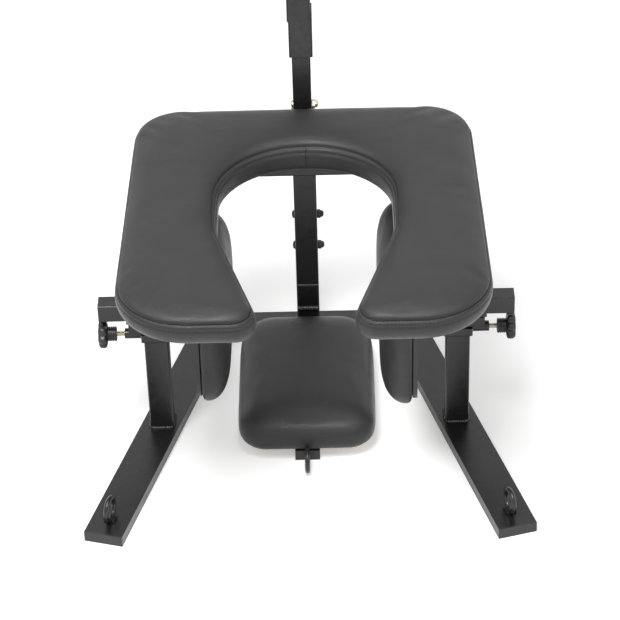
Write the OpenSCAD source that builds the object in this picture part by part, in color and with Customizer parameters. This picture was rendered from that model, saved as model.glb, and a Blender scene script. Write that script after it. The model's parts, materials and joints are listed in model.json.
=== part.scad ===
// Padded stool with a keyhole seat on a splayed steel base.
// The frame stands on Z = 0, +X is to the right and -Y is the open front of the seat.
// "Left" pieces are on the -X side. Sizes are in millimetres.

/* [Base] */
// Distance of each post's centre from the middle of the stool
post_x = 241; // [200:1:300]
// Distance of the posts' centres behind the middle of the stool
post_y = 22; // [0:1:60]
// Distance of the mast and rear floor tube behind the middle of the stool
mast_y = 294; // [250:1:360]
// How far the floor runners reach in front of the middle of the stool
runner_reach = 263; // [200:1:340]
// Outward splay of each floor runner, in degrees
splay = 15.7; // [8:0.1:20]
// Width of the flat floor tubes
flat_w = 62; // [50:1:80]
// Height of the flat floor tubes
flat_h = 18; // [15:1:25]
// Wall of the flat floor tubes
flat_wall = 2; // [1.5:0.1:3]
// Thickness of the plastic end caps' plates
cap_t = 3; // [2:0.5:4]
// How far an end cap's plug reaches into its tube
cap_plug = 14; // [8:1:20]
// Width of the floor tube under the low cushion
centre_tube_w = 40; // [30:1:50]
// Leg of the weld fillets at the feet of the posts and mast
weld = 4; // [2:0.5:6]

/* [Square tubes] */
// Outer width of the outer square tubes
outer_w = 38; // [34:1:45]
// Wall of the outer square tubes
outer_wall = 2.5; // [2:0.1:3]
// Outer width of the inner square tubes
inner_w = 30; // [24:1:31]
// Wall of the inner square tubes
inner_wall = 2; // [1.5:0.1:2.5]
// Corner radius of the outer square tubes
tube_r = 2.5; // [1:0.1:4]
// Corner radius of the inner square tubes
inner_r = 2; // [1:0.1:3]
// Gap between a sliding tube and its plastic bush, on each side
slide_gap = 0.15; // [0.1:0.01:0.3]
// Length of a plastic bush inside a tube
bush_l = 16; // [10:1:24]

/* [Posts and height] */
// Height of the collars' undersides above the floor
collar_z = 190; // [150:1:220]
// Height of the collars
collar_h = 16; // [14:1:24]
// Height of the knobs' studs above the collars' undersides
knob_rise = 6; // [5:0.5:7]
// Outer width of the collars
collar_w = 46; // [42:1:54]
// Height of the side pads' slide tubes above the floor
slide_z = 244; // [240:1:300]
// How far the seat can be raised
lift = 100; // [60:1:110]
// Length of the inner tube that stays below the sleeve
upright_l = 184; // [150:1:190]

/* [Mast] */
// Height of the mast's foot socket above the floor tube
socket_h = 88; // [60:1:90]
// Height of the mast tube's lower end above the floor
mast_foot_z = 109; // [80:1:120]
// Height of the mast tube's upper end above the floor
mast_head_z = 436; // [420:1:440]
// Heights of the two lower cross bolts above the floor
mast_bolt_z = 178; // [165:1:210]
// Distance between the two lower cross bolts
mast_bolt_step = 62; // [50:1:75]
// Height above the floor of the cross bolt through the mast's thin tube
head_bolt_z = 453; // [450:1:500]
// Height of the sleeve on the mast's thin tube
mast_sleeve_z = 550; // [520:1:600]
// Length of the sleeve on the mast's thin tube
mast_sleeve_l = 63; // [50:1:80]
// Height of the mast's top above the floor
mast_top_z = 760; // [720:1:900]
// Sideways step of the top tube from the sleeve
mast_step = 2; // [1:0.5:2.5]
// Diameter of the cross bolts
bolt_d = 8; // [6:1:10]
// Clearance around a cross bolt, on the radius
bolt_gap = 0.25; // [0.1:0.05:0.5]

/* [Seat] */
// Width of the seat
seat_w = 552; // [500:1:600]
// How much narrower the seat is at its rear corners, on each side
seat_rear_in = 6; // [0:1:15]
// Rear edge of the seat, behind the middle of the stool
seat_rear = 272; // [240:1:274]
// Front edge of the seat, in front of the middle of the stool
seat_front = 326; // [300:1:380]
// Radius of the seat's rear corners
seat_rear_r = 78; // [40:1:100]
// Radius of the seat's outer front corners
seat_front_r = 110; // [60:1:130]
// Radius of the seat's tips beside the opening
seat_tip_r = 34; // [20:1:40]
// Underside of the seat board above the floor
seat_z = 412; // [400:1:430]
// Thickness of the seat board
board_t = 14; // [9:1:18]
// Thickness of the seat's foam above the board, cover included
seat_foam = 41; // [30:1:60]
// Height of the rear bar that carries the seat's rear
bar_h = 62; // [40:1:70]
// Width of the rear bar
bar_w = 220; // [160:1:260]
// How far the seat board sits inside the pad's edge
seat_board_inset = 22; // [15:1:24]
// How far the other boards sit inside their pads' edges
board_inset = 10; // [5:1:20]
// Radius of the round part of the seat opening
open_r = 138; // [120:1:145]
// Centre of the round part, behind the middle of the stool
open_y = 17; // [5:1:20]
// Length of the straight sides in front of the round part
open_straight = 68; // [50:1:80]
// Radius that turns the straight sides inwards
bend_r = 150; // [100:1:200]
// Angle at which the sides close towards the front
taper = 16.5; // [10:0.5:18]

/* [Pads] */
// Width of the low cushion
low_w = 222; // [180:1:224]
// How far the low cushion and its floor tube stand to the right of the middle, negative for the left
low_x = -3.5; // [-6:0.5:6]
// Rear edge of the low cushion, behind the middle of the stool
low_rear = 245; // [200:1:255]
// Front edge of the low cushion, in front of the middle of the stool
low_front = 70; // [40:1:120]
// Corner radius of the low cushion
low_r = 45; // [30:1:70]
// Height of the low cushion's top above the floor
low_top = 80; // [60:1:84]
// Thickness of the low cushion's board
low_board_t = 12; // [9:1:15]
// Distance of the side pads' soft faces from the middle of the stool
side_face_x = 116; // [90:1:118]
// Thickness of the side pads' foam
side_foam = 48; // [40:1:52]
// Thickness of the side pads' boards
side_board_t = 7; // [7:1:12]
// Length of the side pads
side_l = 320; // [240:1:330]
// Height of the side pads
side_h = 204; // [140:1:210]
// Corner radius of the side pads
side_r = 44; // [30:1:60]
// How far the middle of the side pads is above their pivots
side_rise = 5; // [0:1:10]
// How far each left or right side pad is tilted at rest, in degrees
side_tilt = 5; // [0:0.5:8]
// Clearance between a soft pad and its board
pad_gap = 0.3; // [0.2:0.1:0.5]
// How far the slide tubes reach beyond the middle of the stool
slide_reach = 330; // [315:1:345]

/* [Knobs and eyes] */
// Diameter of the knobs' threaded studs
stud_d = 8; // [6:1:10]
// Running gap around a stud, on the radius
stud_gap = 0.05; // [0.02:0.01:0.1]
// Diameter of the threaded bosses on the collars
boss_d = 17; // [14:1:17]
// Distance of the bosses' outer ends from the middle of the stool
boss_end_x = 291; // [285:1:296]
// Distance of the knobs' hub ends from the middle of the stool
knob_x = 304; // [300:1:310]
// Diameter of the knobs' hubs
knob_hub_d = 24; // [18:1:28]
// Length of the knobs' hubs
knob_hub_l = 15; // [10:1:20]
// Diameter of the knobs' star heads
knob_d = 46; // [36:1:50]
// Thickness of the knobs' star heads
knob_head_t = 14; // [10:1:18]
// Number of grips around a star head
knob_lobes = 7; // [5:1:9]
// Diameter of the round bar that the anchor eyes are bent from
eye_bar = 8; // [6:0.5:10]
// Radius of the anchor eyes at the middle of the bar
eye_r = 18; // [15:1:24]
// Gap between the centre eye and the low cushion's front
eye_clear = 1; // [0.5:0.5:5]

/* [Hidden] */

$fn = 48;
steel = [0.05, 0.05, 0.055];
zinc = [0.72, 0.71, 0.66];
plastic = [0.03, 0.03, 0.03];
leather = [0.07, 0.07, 0.075];
wood = [0.55, 0.42, 0.28];

// A cut that goes clean through reaches this far past the face it leaves
cut = 1;
// Clearance of a plug or board that sits inside a tube or pad
plug_gap = 0.2;
tube_bore = outer_w - 2 * outer_wall;
inner_bore = inner_w - 2 * inner_wall;
bush_bore = inner_w + 2 * slide_gap;
collar_top = collar_z + collar_h;
knob_z = collar_z + knob_rise;
sleeve_bottom = slide_z - outer_w / 2;
sleeve_top = slide_z + outer_w / 2;
sleeve_half_l = 45;
gusset_reach = 42;
gusset_t = 5;
gusset_gap = 1;
screw_d = 5;
screw_head_d = 10;
screw_head_t = 3;
plate_t = 5;
plate_w = 66;
plate_l = 240;
screw_depth = 11;
seat_top = seat_z + board_t + pad_gap + seat_foam;
centre_tube_front = low_front - 4;

// Runner geometry: a tube from rear_s behind the post to front_s in front of it, along its own length
runner_front_s = (post_y + runner_reach) / cos(splay);
runner_rear_y = mast_y + flat_w / 2 - flat_w / 2 * sin(splay) - cap_t;
runner_rear_s = (runner_rear_y - post_y) / cos(splay);
runner_l = runner_front_s + runner_rear_s - cap_t;

// Mirrors its children to the -X side where s is negative
module side(s) {
    mirror([s < 0 ? 1 : 0, 0, 0]) children();
}

// A rectangle with round corners, centred
module round_rect(w, d, r) {
    square([w - 2 * r, d], center = true);
    square([w, d - 2 * r], center = true);
    for (x = [-1, 1], y = [-1, 1])
        translate([x * (w / 2 - r), y * (d / 2 - r)]) circle(r);
}

// A square tube standing on Z = 0
module square_tube(w, wall, h) {
    linear_extrude(h) difference() {
        round_rect(w, w, tube_r);
        square(w - 2 * wall, center = true);
    }
}

// The cross section of an inner tube
module inner_section() {
    difference() {
        round_rect(inner_w, inner_w, inner_r);
        square(inner_bore, center = true);
    }
}

// A square ring of plastic that fills the gap between an outer and an inner tube
module liner(h) {
    linear_extrude(h) difference() {
        square(tube_bore, center = true);
        square(bush_bore, center = true);
    }
}

// A plastic plug for an inner tube's end, with a shoe that guides it in the outer tube
module guide_plug(shoe_h) {
    shoe_w = tube_bore - 2 * slide_gap;
    plug_w = inner_bore - 2 * plug_gap;
    translate([0, 0, -shoe_h / 2]) cube([shoe_w, shoe_w, shoe_h], center = true);
    translate([0, 0, cap_plug / 2]) cube([plug_w, plug_w, cap_plug], center = true);
}

// Turns and moves its children into the right runner: local +Y runs to the rear, the post stands at local 0
module runner_place() {
    translate([post_x, post_y, 0]) rotate([0, 0, splay]) children();
}

module flat_tube(l) {
    difference() {
        translate([-flat_w / 2, 0, 0]) cube([flat_w, l, flat_h]);
        translate([-flat_w / 2 + flat_wall, -cut, flat_wall])
            cube([flat_w - 2 * flat_wall, l + 2 * cut, flat_h - 2 * flat_wall]);
    }
}

module runner(s) {
    color(steel) side(s) runner_place()
        translate([0, -runner_front_s + cap_t, 0]) flat_tube(runner_l);
}

// One end cap of a flat tube: its plate's inner face is at local Y = 0 and its plug reaches along +Y
module flat_cap() {
    translate([-flat_w / 2, -cap_t, 0]) cube([flat_w, cap_t, flat_h]);
    translate([-flat_w / 2 + flat_wall + plug_gap, 0, flat_wall + plug_gap])
        cube([flat_w - 2 * (flat_wall + plug_gap), cap_plug, flat_h - 2 * (flat_wall + plug_gap)]);
}

module runner_caps() {
    color(plastic) for (s = [-1, 1]) side(s) runner_place() {
        translate([0, -runner_front_s + cap_t, 0]) flat_cap();
        translate([0, runner_rear_s, 0]) rotate([0, 0, 180]) flat_cap();
    }
}

// The rear floor tube, mitred to the runners' inner sides
module cross_tube() {
    color(steel) difference() {
        translate([0, mast_y - flat_w / 2, 0]) rotate([0, 0, -90]) translate([-flat_w / 2, 0, 0])
            translate([0, -post_x, 0]) flat_tube(2 * post_x);
        for (s = [-1, 1]) side(s) runner_place()
            translate([-flat_w / 2, -runner_front_s, -cut])
                cube([2 * flat_w, 2 * runner_l, flat_h + 2 * cut]);
    }
}

module centre_tube() {
    tube_l = mast_y - flat_w / 2 + centre_tube_front - cap_t;
    color(steel) translate([low_x, -centre_tube_front + cap_t, 0]) difference() {
        translate([-centre_tube_w / 2, 0, 0]) cube([centre_tube_w, tube_l, flat_h]);
        translate([-centre_tube_w / 2 + flat_wall, -cut, flat_wall])
            cube([centre_tube_w - 2 * flat_wall, tube_l + cut - flat_wall, flat_h - 2 * flat_wall]);
        for (y = low_screw_y) translate([0, y + centre_tube_front - cap_t, -cut])
            cylinder(d = screw_d + 1, h = flat_h + 2 * cut);
    }
}

low_screw_y = [-30, 190];

module centre_tube_cap() {
    inset = flat_wall + plug_gap;
    color(plastic) translate([low_x, -centre_tube_front, 0]) {
        translate([-centre_tube_w / 2, 0, 0]) cube([centre_tube_w, cap_t, flat_h]);
        translate([-centre_tube_w / 2 + inset, cap_t, inset])
            cube([centre_tube_w - 2 * inset, cap_plug, flat_h - 2 * inset]);
    }
}

module stud_hole(d) {
    translate([0, 0, knob_z]) rotate([0, 90, 0]) cylinder(d = d, h = 2 * outer_w);
}

module post(s) {
    color(steel) side(s) translate([post_x, post_y, 0]) difference() {
        translate([0, 0, flat_h]) square_tube(outer_w, outer_wall, collar_top - flat_h);
        stud_hole(stud_d + 2 * bolt_gap);
    }
}

module post_bushes() {
    color(plastic) for (s = [-1, 1]) side(s) translate([post_x, post_y, collar_z - bush_l]) liner(bush_l);
}

module collar(s) {
    chamfer = 3;
    color(steel) side(s) translate([post_x, post_y, 0]) difference() {
        translate([0, 0, collar_z]) linear_extrude(collar_h) difference() {
            round_rect(collar_w, collar_w, tube_r);
            round_rect(outer_w, outer_w, tube_r);
        }
        for (a = [0, 90, 180, 270]) rotate([0, 0, a]) translate([collar_w / 2, 0, collar_z]) rotate([0, 45, 0])
            cube([chamfer * sqrt(2), 2 * collar_w, chamfer * sqrt(2)], center = true);
        stud_hole(stud_d + 2 * bolt_gap);
    }
}

module knob_boss(s) {
    boss_start = post_x + collar_w / 2;
    color(steel) side(s) translate([boss_start, post_y, knob_z]) rotate([0, 90, 0]) difference() {
        cylinder(d = boss_d, h = boss_end_x - boss_start);
        translate([0, 0, -cut]) cylinder(d = stud_d + 2 * stud_gap, h = boss_end_x - boss_start + 2 * cut);
    }
}

// A welded eye of round bar, standing in the Y-Z plane with its centre at local 0, and its weld foot
module eye_ring() {
    rotate([0, 90, 0]) rotate_extrude() translate([eye_r, 0]) circle(d = eye_bar);
}

module anchor_eye(s) {
    foot_h = 3;
    eye_back = 20;
    color(steel) side(s) runner_place()
        translate([0, -runner_front_s + eye_back + eye_r, flat_h]) difference() {
            union() {
                translate([0, 0, eye_r + eye_bar / 2 - cut]) eye_ring();
                translate([-eye_bar, -eye_bar, 0]) cube([2 * eye_bar, 2 * eye_bar, foot_h]);
            }
            translate([-outer_w, -outer_w, -flat_h]) cube([2 * outer_w, 2 * outer_w, flat_h]);
        }
}

// The centre eye stands clear of the low cushion's front on a short welded stem
module anchor_eye_centre() {
    eye_z = eye_r + eye_bar / 2;
    eye_y = -low_front - eye_clear - eye_z;
    stem_z = flat_h / 2 + cut;
    ring_back = sqrt(pow(eye_r, 2) - pow(eye_z - stem_z, 2));
    color(steel) translate([low_x, 0, 0]) {
        translate([0, eye_y, eye_z]) eye_ring();
        translate([0, -centre_tube_front, stem_z]) rotate([90, 0, 0])
            cylinder(d = eye_bar, h = -centre_tube_front - eye_y - ring_back);
    }
}

module mast_socket() {
    color(steel) translate([0, mast_y, flat_h]) linear_extrude(socket_h) difference() {
        round_rect(outer_w, outer_w, tube_r);
        square(inner_w, center = true);
    }
}

stub_top = mast_bolt_z + mast_bolt_step + lift + bolt_d + cap_plug;

// The inner tube that the mast tube slides on, slotted for the two cross bolts
module mast_stub() {
    slot_r = bolt_d / 2 + bolt_gap;
    color(steel) translate([0, mast_y, 0]) difference() {
        translate([0, 0, flat_h]) linear_extrude(stub_top - flat_h) inner_section();
        translate([-outer_w, 0, mast_bolt_z]) rotate([0, 90, 0]) cylinder(r = slot_r, h = 2 * outer_w);
        translate([-outer_w, 0, mast_bolt_z + mast_bolt_step + lift]) rotate([0, 90, 0])
            cylinder(r = slot_r, h = 2 * outer_w);
        translate([-outer_w, -slot_r, mast_bolt_z]) cube([2 * outer_w, 2 * slot_r, mast_bolt_step + lift]);
    }
}

module mast_stub_plug() {
    color(plastic) translate([0, mast_y, stub_top]) mirror([0, 0, 1]) guide_plug(6);
}

// Weld fillets around a square foot of the outer tube's width
module foot_weld() {
    for (a = [0, 90, 180, 270]) rotate([0, 0, a])
        translate([outer_w / 2, outer_w / 2 - tube_r, 0]) rotate([90, 0, 0])
            linear_extrude(outer_w - 2 * tube_r) polygon([[0, 0], [weld, 0], [0, weld]]);
}

module foot_welds() {
    color(steel) {
        for (x = [-post_x, post_x]) translate([x, post_y, flat_h]) foot_weld();
        translate([0, mast_y, flat_h]) foot_weld();
    }
}

module low_outline(inset) {
    round_rect(low_w - 2 * inset, low_rear + low_front - 2 * inset, low_r - inset);
}

module low_board() {
    color(wood) translate([low_x, (low_rear - low_front) / 2, flat_h]) difference() {
        linear_extrude(low_board_t) low_outline(board_inset);
        for (y = low_screw_y) translate([0, y - (low_rear - low_front) / 2, -cut])
            cylinder(d = screw_d, h = screw_depth + cut);
    }
}

// The cushion wraps down over the board's edge, so the board sits in a pocket in its underside
module low_pad() {
    color(leather) translate([low_x, (low_rear - low_front) / 2, 0]) difference() {
        translate([0, 0, flat_h + pad_gap]) linear_extrude(low_top - flat_h - pad_gap) low_outline(0);
        translate([0, 0, flat_h - cut]) linear_extrude(low_board_t + pad_gap + cut)
            low_outline(board_inset - pad_gap);
    }
}

// A wood screw pointing up, its head under the plane Z = 0
module screw(shank) {
    cylinder(d = screw_d, h = shank);
    translate([0, 0, -screw_head_t]) cylinder(d = screw_head_d, h = screw_head_t);
}

module low_screws() {
    head_room = 0.5;
    color(zinc) for (y = low_screw_y) translate([low_x, y, flat_wall + head_room]) {
        cylinder(d = screw_d, h = flat_h - flat_wall - head_room + screw_depth);
        cylinder(d = screw_head_d, h = screw_head_t);
    }
}

module star_knob(s) {
    head_x = knob_hub_l;
    notch_r = knob_d / 10;
    socket_l = knob_hub_l - 3;
    color(plastic) side(s) translate([knob_x, post_y, knob_z]) rotate([0, 90, 0]) difference() {
        union() {
            cylinder(d = knob_hub_d, h = head_x);
            difference() {
                translate([0, 0, head_x]) cylinder(d = knob_d, h = knob_head_t);
                for (i = [0 : knob_lobes - 1]) rotate([0, 0, (i + 0.5) * 360 / knob_lobes])
                    translate([knob_d / 2 + notch_r / 3, 0, head_x - cut])
                        cylinder(r = notch_r, h = knob_head_t + 2 * cut);
            }
        }
        translate([0, 0, -cut]) cylinder(d = stud_d, h = socket_l + cut);
    }
}

// A stud, from the inner tube's face to the bottom of the knob's socket
module knob_stud(s) {
    stud_start = post_x + inner_w / 2 + slide_gap;
    color(zinc) side(s) translate([stud_start, post_y, knob_z]) rotate([0, 90, 0])
        cylinder(d = stud_d, h = knob_x + knob_hub_l - 3 - stud_start);
}

// Each cross bolt as its height and half the width of the tube it crosses
cross_bolts = [
    [mast_bolt_z, outer_w / 2],
    [mast_bolt_z + mast_bolt_step, outer_w / 2],
    [head_bolt_z, inner_w / 2]];

// A hole across the mast at each cross bolt's height
module mast_bolt_holes() {
    for (b = cross_bolts) translate([-outer_w, 0, b[0]]) rotate([0, 90, 0])
        cylinder(d = bolt_d + 2 * bolt_gap, h = 2 * outer_w);
}

module mast_tube() {
    color(steel) translate([0, mast_y, 0]) difference() {
        translate([0, 0, mast_foot_z]) square_tube(outer_w, outer_wall, mast_head_z - mast_foot_z);
        mast_bolt_holes();
    }
}

module mast_foot_bush() {
    rim_t = 2;
    color([0.35, 0.35, 0.36]) translate([0, mast_y, mast_foot_z]) {
        liner(bush_l);
        translate([0, 0, -rim_t]) linear_extrude(rim_t) difference() {
            round_rect(outer_w, outer_w, tube_r);
            square(bush_bore, center = true);
        }
    }
}

shim_z = stub_top + 24;

module mast_shim() {
    color(plastic) translate([0, mast_y, shim_z]) liner(mast_head_z - shim_z);
}

// Cross bolts: each head bears on its tube's left face and its shank passes through to the nut
module mast_bolts() {
    nut_grip = 6;
    head_t = 4.5;
    color(zinc) for (b = cross_bolts) translate([-b[1], mast_y, b[0]]) rotate([0, 90, 0]) {
        cylinder(d = bolt_d, h = 2 * b[1] + nut_grip);
        translate([0, 0, -head_t]) cylinder(d = 14, h = head_t);
    }
}

// Domed nuts on the tubes' right faces
module mast_nuts() {
    nut_h = 6.5;
    nut_across = 13;
    color(zinc) for (b = cross_bolts) translate([b[1], mast_y, b[0]]) rotate([0, 90, 0]) difference() {
        union() {
            cylinder(d = nut_across / cos(30), h = nut_h, $fn = 6);
            intersection() {
                translate([0, 0, nut_h - 1]) sphere(d = nut_across - 1);
                cylinder(d = nut_across, h = 2 * nut_h);
            }
        }
        translate([0, 0, -cut]) cylinder(d = bolt_d, h = nut_h - 0.5 + cut);
    }
}

// Tabs in front of the rear bar, level with its top, that the seat's rear is screwed to
tab_x = 80;
tab_w = 44;
tab_l = 34;
tab_screw_y = -17;

// The bar across the mast's front face that carries the seat's rear
module rear_bar() {
    bar_y = mast_y - outer_w / 2;
    color(steel) translate([0, bar_y, seat_z]) {
        translate([-bar_w / 2 + cap_t, -outer_w / 2, -bar_h / 2]) rotate([90, 0, 90])
            linear_extrude(bar_w - 2 * cap_t) difference() {
                round_rect(outer_w, bar_h, tube_r);
                square([tube_bore, bar_h - 2 * outer_wall], center = true);
            }
        for (x = [-tab_x, tab_x]) translate([x, -outer_w, -plate_t]) difference() {
            translate([-tab_w / 2, -tab_l, 0]) cube([tab_w, tab_l + outer_wall, plate_t]);
            translate([0, tab_screw_y, -cut]) cylinder(d = screw_d + 1, h = plate_t + 2 * cut);
        }
    }
}

module rear_bar_caps() {
    plug_h = bar_h - 2 * (outer_wall + plug_gap);
    plug_d = tube_bore - 2 * plug_gap;
    color(plastic) for (s = [-1, 1]) side(s)
        translate([bar_w / 2, mast_y - outer_w, seat_z - bar_h / 2]) rotate([90, 0, 90]) {
            translate([0, 0, -cap_t]) linear_extrude(cap_t) round_rect(outer_w, bar_h, tube_r);
            translate([-plug_d / 2, -plug_h / 2, -cap_t - cap_plug]) cube([plug_d, plug_h, cap_plug]);
        }
}

module upright(s) {
    color(steel) side(s) translate([post_x, post_y, sleeve_bottom - upright_l])
        linear_extrude(upright_l) inner_section();
}

module upright_feet() {
    shoe_h = 8;
    color(plastic) for (s = [-1, 1]) side(s)
        translate([post_x, post_y, sleeve_bottom - upright_l]) guide_plug(shoe_h);
}

// The square sleeve across the top of an upright, in which a slide tube runs
module sleeve(s) {
    color(steel) side(s) translate([post_x - sleeve_half_l, post_y, slide_z]) rotate([90, 0, 90])
        square_tube(outer_w, outer_wall, 2 * sleeve_half_l);
}

module sleeve_bushes() {
    color(plastic) for (s = [-1, 1]) side(s) for (x = [-sleeve_half_l, sleeve_half_l - bush_l])
        translate([post_x + x, post_y, slide_z]) rotate([90, 0, 90]) liner(bush_l);
}

// The stiffening plates under the sleeves' outer ends, level with the sleeves' front and rear faces
module gussets() {
    gusset_start = inner_w / 2;
    gusset_z = collar_top + gusset_gap;
    color(steel) for (s = [-1, 1], y = [-outer_w / 2, outer_w / 2 - gusset_t]) side(s)
        translate([post_x + gusset_start, post_y + y, gusset_z])
            cube([gusset_reach - gusset_start, gusset_t, sleeve_bottom - gusset_z]);
}

module riser(s) {
    color(steel) side(s) translate([post_x, post_y, sleeve_top])
        linear_extrude(seat_z - plate_t - sleeve_top) inner_section();
}

plate_x = post_x - 16;
plate_screw_x = [-20, 20];
plate_screw_y = [-100, 100];

module seat_plates() {
    color(steel) for (s = [-1, 1]) side(s) translate([plate_x, post_y, seat_z - plate_t]) difference() {
        translate([-plate_w / 2, -plate_l / 2, 0]) cube([plate_w, plate_l, plate_t]);
        for (x = plate_screw_x, y = plate_screw_y) translate([x, y, -cut])
            cylinder(d = screw_d + 1, h = plate_t + 2 * cut);
    }
}

// Places its children at each seat screw, in the plane of the seat board's underside
module at_seat_screws() {
    for (s = [-1, 1]) side(s) {
        for (x = plate_screw_x, y = plate_screw_y) translate([plate_x + x, post_y + y, seat_z]) children();
        translate([tab_x, mast_y - 1.5 * outer_w + tab_screw_y, seat_z]) children();
    }
}

function arc(centre, r, a0, a1, steps) =
    [for (i = [0 : steps]) let (a = a0 + (a1 - a0) * i / steps) centre + r * [cos(a), sin(a)]];

// The right half of the seat's outline, drawn in by inset on every side
function seat_half(inset) = let (
    bend_y = open_y - open_straight,
    bend_end = [open_r - bend_r + bend_r * cos(taper), bend_y - bend_r * sin(taper)],
    tip_y = -seat_front + seat_tip_r,
    tip_x = bend_end[0] + (tip_y - bend_end[1]) * tan(taper) + seat_tip_r / cos(taper),
    front_x = seat_w / 2,
    rear_x = front_x - seat_rear_in
) concat(
    arc([rear_x - seat_rear_r, seat_rear - seat_rear_r], seat_rear_r - inset, 90, 0, 10),
    arc([front_x - seat_front_r, seat_front_r - seat_front], seat_front_r - inset, 0, -90, 14),
    arc([tip_x, tip_y], seat_tip_r - inset, 270, 180 - taper, 8),
    arc([open_r - bend_r, bend_y], bend_r + inset, -taper, 0, 4),
    arc([0, open_y], open_r + inset, 0, 90, 14));

function mirrored(points) = [for (i = [len(points) - 2 : -1 : 0]) [-points[i][0], points[i][1]]];

module seat_outline(inset) {
    half = seat_half(inset);
    polygon(concat(half, mirrored(half)));
}

module seat_board() {
    color(wood) difference() {
        translate([0, 0, seat_z]) linear_extrude(board_t) seat_outline(seat_board_inset);
        at_seat_screws() translate([0, 0, -cut]) cylinder(d = screw_d, h = screw_depth + cut);
    }
}

// The cover wraps down over the board's edge, so the board sits in a pocket in the pad's underside
module seat_pad() {
    pad_z = seat_z + pad_gap;
    color(leather) difference() {
        translate([0, 0, pad_z]) linear_extrude(seat_top - pad_z) seat_outline(0);
        translate([0, 0, seat_z - cut]) linear_extrude(board_t + pad_gap + cut)
            seat_outline(seat_board_inset - pad_gap);
    }
}

module seat_screws() {
    color(zinc) at_seat_screws() translate([0, 0, -plate_t]) screw(plate_t + screw_depth);
}

inner_tube_z = shim_z - 2;
sleeve_end_z = mast_sleeve_z + mast_sleeve_l;
inner_tube_top = max(mast_top_z - 40, sleeve_end_z + 4);

module mast_inner_tube() {
    color(steel) translate([0, mast_y, 0]) difference() {
        translate([0, 0, inner_tube_z]) linear_extrude(inner_tube_top - inner_tube_z) inner_section();
        mast_bolt_holes();
    }
}

// The sleeve is shimmed tight on the thin tube, and its right wall stands up beside the top tube
module mast_sleeve() {
    tab_h = 17;
    color(steel) translate([0, mast_y, mast_sleeve_z]) {
        linear_extrude(mast_sleeve_l) difference() {
            round_rect(outer_w, outer_w, tube_r);
            square(inner_w, center = true);
        }
        translate([outer_w / 2 - mast_step, -inner_w / 2, mast_sleeve_l]) cube([mast_step, inner_w, tab_h]);
    }
}

module mast_top_tube() {
    chamfer = 3;
    bore = inner_w + 2 * mast_step;
    color(steel) translate([-mast_step, mast_y, sleeve_end_z]) difference() {
        linear_extrude(mast_top_z - cap_t - sleeve_end_z) difference() {
            round_rect(outer_w, outer_w, tube_r);
            square(bore, center = true);
        }
        translate([-outer_w / 2, 0, 0]) rotate([0, 45, 0]) cube([chamfer, 2 * outer_w, chamfer], center = true);
    }
}

module mast_top_cap() {
    plug = inner_w + 2 * mast_step - 2 * plug_gap;
    color(plastic) translate([-mast_step, mast_y, mast_top_z - cap_t]) {
        linear_extrude(cap_t) round_rect(outer_w, outer_w, tube_r);
        translate([-plug / 2, -plug / 2, -cap_plug]) cube([plug, plug, cap_plug]);
    }
}

// Side pads, from the middle outwards: foam, board, flange, gap, end plate of the slide tube
board_x = side_face_x + side_foam + pad_gap;
flange_x = board_x + side_board_t;
flange_t = 4;
flange_d = 64;
pivot_d = 12;
pivot_gap = 0.08;
end_plate_x = flange_x + flange_t + 1;
end_plate_t = 5;
pivot_head_d = 22;
pivot_head_t = 3;
pivot_head_gap = 0.3;
pivot_head_x = board_x + 1;

// A slide tube with its outer end cap, and at its inner end the plate and pivot that carry the pad
module slide_tube(s) {
    tube_start = end_plate_x + end_plate_t;
    color(steel) side(s) translate([0, post_y, slide_z]) {
        translate([tube_start, 0, 0]) rotate([90, 0, 90])
            linear_extrude(slide_reach - tube_start) inner_section();
        for (end = [[slide_reach - cap_t, cap_t], [end_plate_x, end_plate_t]])
            translate([end[0], 0, 0]) rotate([90, 0, 90]) linear_extrude(end[1])
                round_rect(inner_w, inner_w, inner_r);
        translate([pivot_head_x, 0, 0]) rotate([0, 90, 0]) {
            cylinder(d = pivot_d, h = end_plate_x - pivot_head_x);
            cylinder(d = pivot_head_d, h = pivot_head_t);
        }
    }
}

// Tilts its children about the slide tube's axis, left pad front up and right pad front down
module tilted(s) {
    side(s) translate([0, post_y, slide_z]) rotate([s * side_tilt, 0, 0]) children();
}

module side_flange(s) {
    color(steel) tilted(s) translate([flange_x, 0, 0]) rotate([0, 90, 0]) difference() {
        cylinder(d = flange_d, h = flange_t);
        translate([0, 0, -cut]) cylinder(d = pivot_d + 2 * pivot_gap, h = flange_t + 2 * cut);
    }
}

module side_board(s) {
    pocket_d = pivot_head_d + 2;
    pocket_l = pivot_head_x - board_x + pivot_head_t + pivot_head_gap;
    color(wood) tilted(s) translate([board_x, 0, 0]) rotate([90, 0, 90]) difference() {
        translate([0, side_rise, 0]) linear_extrude(side_board_t)
            round_rect(side_l - 2 * board_inset, side_h - 2 * board_inset, side_r - board_inset);
        translate([0, 0, -cut]) cylinder(d = pocket_d, h = pocket_l + cut);
        translate([0, 0, -cut]) cylinder(d = pivot_d + 2 * pivot_gap, h = side_board_t + 2 * cut);
    }
}

module side_pad(s) {
    color(leather) tilted(s) translate([side_face_x, 0, side_rise]) rotate([90, 0, 90])
        linear_extrude(side_foam) round_rect(side_l, side_h, side_r);
}

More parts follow.
